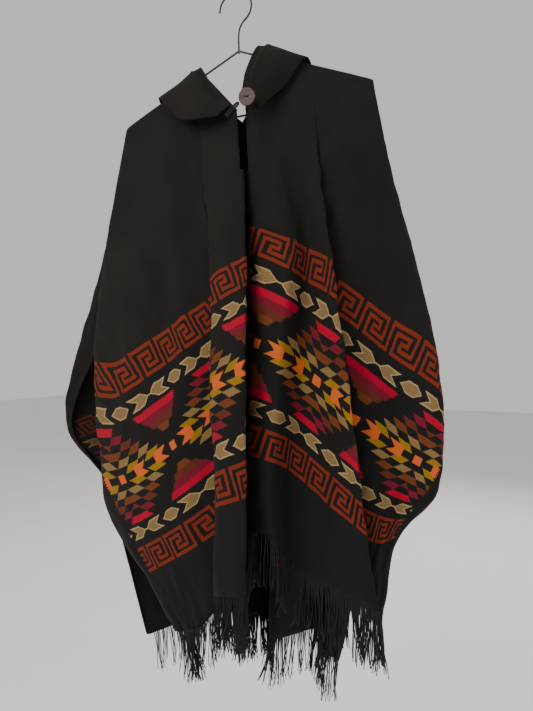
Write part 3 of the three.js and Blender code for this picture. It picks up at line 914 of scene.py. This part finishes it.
class BuildStage(bpy.types.Operator):
    """Make the camera, the light and the pale floor"""
    bl_idname = "poncho.stage"
    bl_label = "Stage"

    def execute(self, context):
        settings = context.scene.poncho_stage
        self.camera(context, settings)
        self.light(context)
        self.floor(context, settings)
        return {"FINISHED"}

    def camera(self, context, settings):
        data = bpy.data.cameras.new("camera")
        data.lens = settings.lens
        data.clip_end = 50
        camera = bpy.data.objects.new("camera", data)
        camera.location = settings.camera_place
        camera.rotation_euler = (math.pi / 2, 0, settings.camera_azimuth)
        context.scene.collection.objects.link(camera)
        context.scene.camera = camera

    def light(self, context):
        lamps = (   # name, place, size, power and colour
            ("window", (-1.5, -2.4, 0.9), 2.0, 70, (1.0, 0.96, 0.9)),
            ("side", (2.6, -1.0, 0.2), 1.8, 34, (0.92, 0.96, 1.0)),
            ("behind", (0.4, 2.6, 0.8), 2.0, 60, (1.0, 0.98, 0.95)),
        )
        for name, place, size, power, colour in lamps:
            data = bpy.data.lights.new(name, "AREA")
            data.size = size
            data.energy = power
            data.color = colour
            lamp = bpy.data.objects.new(name, data)
            lamp.location = place
            aim = Vector(LAMP_AIM) - Vector(place)
            lamp.rotation_euler = aim.to_track_quat("-Z", "Y").to_euler()
            context.scene.collection.objects.link(lamp)

    def floor(self, context, settings):
        drop = CAD_BOX[0].z - settings.floor_drop
        half = FLOOR_HALF
        corners = [(x * half, y * half, drop) for x, y in ((-1, -1), (1, -1), (1, 1), (-1, 1))]
        mesh = bpy.data.meshes.new("floor")
        mesh.from_pydata(corners, [], [(0, 1, 2, 3)])
        floor = bpy.data.objects.new("floor", mesh)
        context.scene.collection.objects.link(floor)
        mesh.materials.append(floor_finish("floor", settings.floor_colour))
        world = bpy.data.worlds.new("air")
        world.use_nodes = True
        sky = world.node_tree.nodes["Background"]
        sky.inputs[0].default_value = (*settings.floor_colour, 1.0)
        sky.inputs[1].default_value = AIR_STRENGTH
        context.scene.world = world


class BuildHanger(bpy.types.Operator):
    """Bend the hanger's hook and its closed frame from wire"""
    bl_idname = "poncho.hanger"
    bl_label = "Hanger"

    def execute(self, context):
        settings = context.scene.poncho_fitting
        radius = settings.wire / MM
        parts = [tube_arrays(path, radius, WIRE_SIDES) for path in (self.hook(), self.frame_wire())]
        nodes = ("hanger_hook", "hanger_arm_left", "hanger_arm_right", "hanger_bar")
        add_piece("hanger_wire", joined_mesh("hanger_wire", parts), nodes,
                  [wire_finish("lacquered_wire", settings.wire_colour)])
        return {"FINISHED"}

    def hook(self):
        """From the hook's open end, round and down its shank to the neck."""
        centre_x, centre_z = HOOK_CENTRE
        arc = [(centre_x + HOOK_RADIUS * math.cos(angle), 0, centre_z + HOOK_RADIUS * math.sin(angle))
               for angle in np.radians(180 - np.linspace(0, HOOK_MOUTH, 40)[::3])]
        stem = [(x, 0, z) for x, z in SHANK] + [(0, 0, NECK_Z - 4)]
        return rounded_path(arc + stem, 2.5)

    def frame_wire(self):
        """From the neck, along the left arm, the bar and the right arm, to the neck."""
        bend = 6
        tip_x, tip_z = ARM_TIP
        half = [(0, NECK_Z), (8, NECK_Z - 4), (60, NECK_Z - 26), (tip_x - bend, tip_z + 3),
                (tip_x + 2, (tip_z + BAR_Z) / 2), (tip_x - bend, BAR_Z), (60, BAR_Z)]
        left = [(-x, 0, z) for x, z in half]
        right = [(x, 0, z) for x, z in half]
        return rounded_path(left + right[::-1], 1.6)


class BuildFront(bpy.types.Operator):
    """Hang the front of the cloth, with its slit, its deep pleat and its two laps"""
    bl_idname = "poncho.front"
    bl_label = "Front"

    def execute(self, context):
        settings = context.scene.poncho_cloth
        points, cut, level_list = panel(settings, FRONT_FOLDS, FRONT_LEVELS, -1, FRONT_LENGTH,
                                        FRONT_CREASES, (SLIT_LENGTH,))
        keep = np.ones((points.shape[0] - 1, points.shape[1] - 1), bool)
        first = fold_index(FRONT_FOLDS, "centre left ridge") * settings.steps_across
        last = fold_index(FRONT_FOLDS, "centre right edge") * settings.steps_across
        keep[first:last, :int(np.argmin(abs(level_list - SLIT_LENGTH)))] = False
        mesh = wall_mesh("front_cloth", points, cut, settings.thickness / MM, keep)
        # The grid's normals point into the garment, so slot 0 is the right side.
        finishes = [cloth_finish("woven_right_side", settings),
                    cloth_finish("woven_wrong_side", settings, 0.35, False)]
        front = add_piece("front_cloth", mesh, ["front_panel"], finishes)
        fringe = context.scene.poncho_fringe
        yarn = yarn_finish("fringe_yarn", fringe.colour)
        split = cut[first, -1, 0] + FRINGE_SPLIT
        for name, node, low, high, seed in (
                ("front_left_strands", "front_fringe_left", -HALF_WIDTH + 2, split, 11),
                ("front_right_strands", "front_fringe_right", split, HALF_WIDTH - 2, 12)):
            strands = fringe_parts(fringe, points, cut, low, high, seed)
            add_piece(name, joined_mesh(name, strands), [node], [yarn])
        return {"FINISHED"}


class BuildBack(bpy.types.Operator):
    """Hang the longer back of the cloth in its soft folds"""
    bl_idname = "poncho.back"
    bl_label = "Back"

    def execute(self, context):
        settings = context.scene.poncho_cloth
        points, cut, _ = panel(settings, BACK_FOLDS, BACK_LEVELS, 1, BACK_LENGTH, BACK_CREASES)
        points, cut = points[::-1], cut[::-1]
        mesh = wall_mesh("back_cloth", points, cut, settings.thickness / MM)
        finishes = [bpy.data.materials["woven_right_side"], bpy.data.materials["woven_wrong_side"]]
        back = add_piece("back_cloth", mesh, ["back_panel"], finishes)
        fringe = context.scene.poncho_fringe
        strands = fringe_parts(fringe, points[::-1], cut[::-1], -HALF_WIDTH + 2, HALF_WIDTH - 2, 13)
        strip = add_piece("back_strands", joined_mesh("back_strands", strands),
                          ["back_fringe"], [bpy.data.materials["fringe_yarn"]])
        return {"FINISHED"}


class BuildHood(bpy.types.Operator):
    """Lay the two halves of the hood over the shoulders, with their gathered casings"""
    bl_idname = "poncho.hood"
    bl_label = "Hood"

    def execute(self, context):
        settings = context.scene.poncho_cloth
        right_side = cloth_finish("hood_right_side", settings, 0)
        wrong_side = cloth_finish("hood_wrong_side", settings, 0, False)
        for name, rows, node, turn in (("hood_left_half", HOOD_LEFT, "hood_left", -1),
                                       ("hood_right_half", HOOD_RIGHT, "hood_right", 1)):
            points, cut = self.half(rows, turn)
            mesh = wall_mesh(name, points, cut, settings.thickness / MM)
            piece = add_piece(name, mesh, [node], [right_side, wrong_side])
        return {"FINISHED"}

    def half(self, rows, turn):
        """One half's grid in mm, with ribs in the casing along the face opening."""
        across = np.linspace(0, len(rows) - 1, HOOD_GRID[0])
        along = np.linspace(0, HOOD_PLACES[-1], HOOD_GRID[1])
        grids = []
        for axis in ("x", "y", "z"):
            table = np.array([row[axis] for row in rows], float)
            columns = curve_through(table.T, HOOD_PLACES, along)
            grids.append(curve_through(columns.T, np.arange(len(rows)), across))
        points = np.stack(grids, axis=2)
        if turn < 0:
            points = points[::-1]
        normals = -grid_normals(points)
        place = across if turn > 0 else across[::-1]
        width = np.linalg.norm(points - points[0 if turn > 0 else -1][None], axis=2)
        steps = np.linalg.norm(np.diff(points[len(across) // 2], axis=0), axis=1)
        run = np.concatenate([[0], np.cumsum(steps)])
        casing = np.exp(-((width - CASING_MIDDLE) / CASING_HALF) ** 4)
        ribs = 0.55 + 0.45 * np.sin(run * 2 * np.pi / RIB_PITCH + 0.4 * np.sin(run / 17))
        seam = np.exp(-((width - CASING_SEAM) / 1.6) ** 2)
        soft = np.sin(run / 26 + place[:, None] * 1.6) * np.clip(width / 60, 0, 1)
        lift = casing * CASING_LIFT * (0.6 + 0.6 * ribs) - seam * 1.2 + soft * HOOD_SOFTNESS
        ends = np.clip(np.minimum(run, run[-1] - run) / 30, 0, 1)
        points = points + normals * (lift * ends)[:, :, None]
        flat = np.stack([np.broadcast_to(run, width.shape), HOOD_PLACE_ON_CUT + width], axis=2)
        return points, flat


class BuildButton(bpy.types.Operator):
    """Make the coconut-shell button, its thread and the cord loop that holds it"""
    bl_idname = "poncho.button"
    bl_label = "Button"

    def execute(self, context):
        settings = context.scene.poncho_fitting
        button = self.disc(context, settings)
        thread = self.thread(settings)
        thread.parent = button
        self.loop(settings)
        return {"FINISHED"}

    def disc(self, context, settings):
        """A round disc with two holes, a soft rim and a slight dish."""
        curve = bpy.data.curves.new("button_outline", "CURVE")
        curve.dimensions = "2D"
        curve.fill_mode = "BOTH"
        curve.resolution_u = 12
        bevel = settings.button_thickness * 0.22
        curve.extrude = settings.button_thickness / 2 - bevel
        curve.bevel_depth = bevel
        curve.bevel_resolution = 4
        hole = settings.button_radius * 0.11
        aside = HOLE_ASIDE * MM
        for x, radius in ((0, settings.button_radius - bevel), (-aside, hole), (aside, hole)):
            spline = curve.splines.new("BEZIER")
            spline.bezier_points.add(3)
            spline.use_cyclic_u = True
            for index, point in enumerate(spline.bezier_points):
                angle = index * math.pi / 2
                point.co = (x + radius * math.cos(angle), radius * math.sin(angle), 0)
                point.handle_left_type = "AUTO"
                point.handle_right_type = "AUTO"
        outline = bpy.data.objects.new("button_outline", curve)
        context.scene.collection.objects.link(outline)
        depsgraph = context.evaluated_depsgraph_get()
        mesh = bpy.data.meshes.new_from_object(outline.evaluated_get(depsgraph))
        bpy.data.objects.remove(outline)
        mesh.name = "coconut_button"
        for vertex in mesh.vertices:
            off = math.hypot(vertex.co.x, vertex.co.y) / settings.button_radius
            vertex.co.z += BUTTON_DISH * off * off
        mesh.transform(self.matrix())
        return add_piece("coconut_button", mesh, ["button"],
                         [shell_finish("coconut_shell", tuple(settings.shell))])

    def matrix(self):
        """The button stands on edge, facing the front, leaning back a little."""
        place = Matrix.Translation(Vector(BUTTON_PLACE) * MM)
        return place @ Matrix.Rotation(0.12, 4, "Z") @ Matrix.Rotation(math.pi / 2 + 0.15, 4, "X")

    def thread(self, settings):
        """Two turns of thread through the button's holes."""
        half = settings.button_thickness / MM / 2
        parts = []
        for shift in (-0.35, 0.35):
            stitch = ((-1, -1), (-1, 0.35), (0, 0.6), (1, 0.35), (1, -1))
            points = [(HOLE_ASIDE * side, shift, half + rise) for side, rise in stitch]
            parts.append(tube_arrays(rounded_path(points, 0.4), THREAD_RADIUS, 6))
        mesh = joined_mesh("button_thread", parts)
        mesh.transform(self.matrix())
        piece = bpy.data.objects.new("button_thread", mesh)
        bpy.context.scene.collection.objects.link(piece)
        mesh.materials.append(bpy.data.materials["fringe_yarn"])
        return piece

    def loop(self, settings):
        """Two runs of round cord from the slit's edge to behind the button."""
        route = np.array(LOOP_ROUTE, float)
        run = route[-1] - route[0]
        side = np.cross(run / np.linalg.norm(run), (0, 1.0, 0))
        out = [point + side * LOOP_HALF for point in route]
        back = [point - side * LOOP_HALF for point in route[::-1]]
        turn = [route[-1] + run / np.linalg.norm(run) * 2.6]
        path = rounded_path(out + turn + back, 1.0)
        twist = 1 + 0.1 * np.sin(np.arange(len(path)) * 1.6)
        mesh = joined_mesh("loop_cord", [tube_arrays(path, settings.cord / MM * twist, 10)])
        add_piece("loop_cord", mesh, ["button_loop"], [bpy.data.materials["fringe_yarn"]])


class PonchoPanel(bpy.types.Panel):
    """The poncho's pieces, in the order in which they are made"""
    bl_idname = "VIEW3D_PT_poncho"
    bl_label = "Poncho"
    bl_space_type = "VIEW_3D"
    bl_region_type = "UI"
    bl_category = "Poncho"

    def draw(self, context):
        for operator in PIECES:
            self.layout.operator(operator.bl_idname)
        for name in SETTING_GROUPS:
            group = getattr(context.scene, name)
            for setting in group.bl_rna.properties.keys():
                if setting not in ("rna_type", "name"):
                    self.layout.prop(group, setting)


PIECES = (BuildStage, BuildHanger, BuildFront, BuildBack, BuildHood, BuildButton)
CLASSES = (*SETTING_GROUPS.values(), *PIECES, PonchoPanel)


def register():
    for made in CLASSES:
        bpy.utils.register_class(made)
    for name, group in SETTING_GROUPS.items():
        setattr(bpy.types.Scene, name, bpy.props.PointerProperty(type=group))


def unregister():
    for name in SETTING_GROUPS:
        delattr(bpy.types.Scene, name)
    for made in reversed(CLASSES):
        bpy.utils.unregister_class(made)


def main():
    register()
    bpy.ops.poncho.stage()
    bpy.ops.poncho.hanger()
    bpy.ops.poncho.front()
    bpy.ops.poncho.back()
    bpy.ops.poncho.hood()
    bpy.ops.poncho.button()


if __name__ == "__main__":
    main()
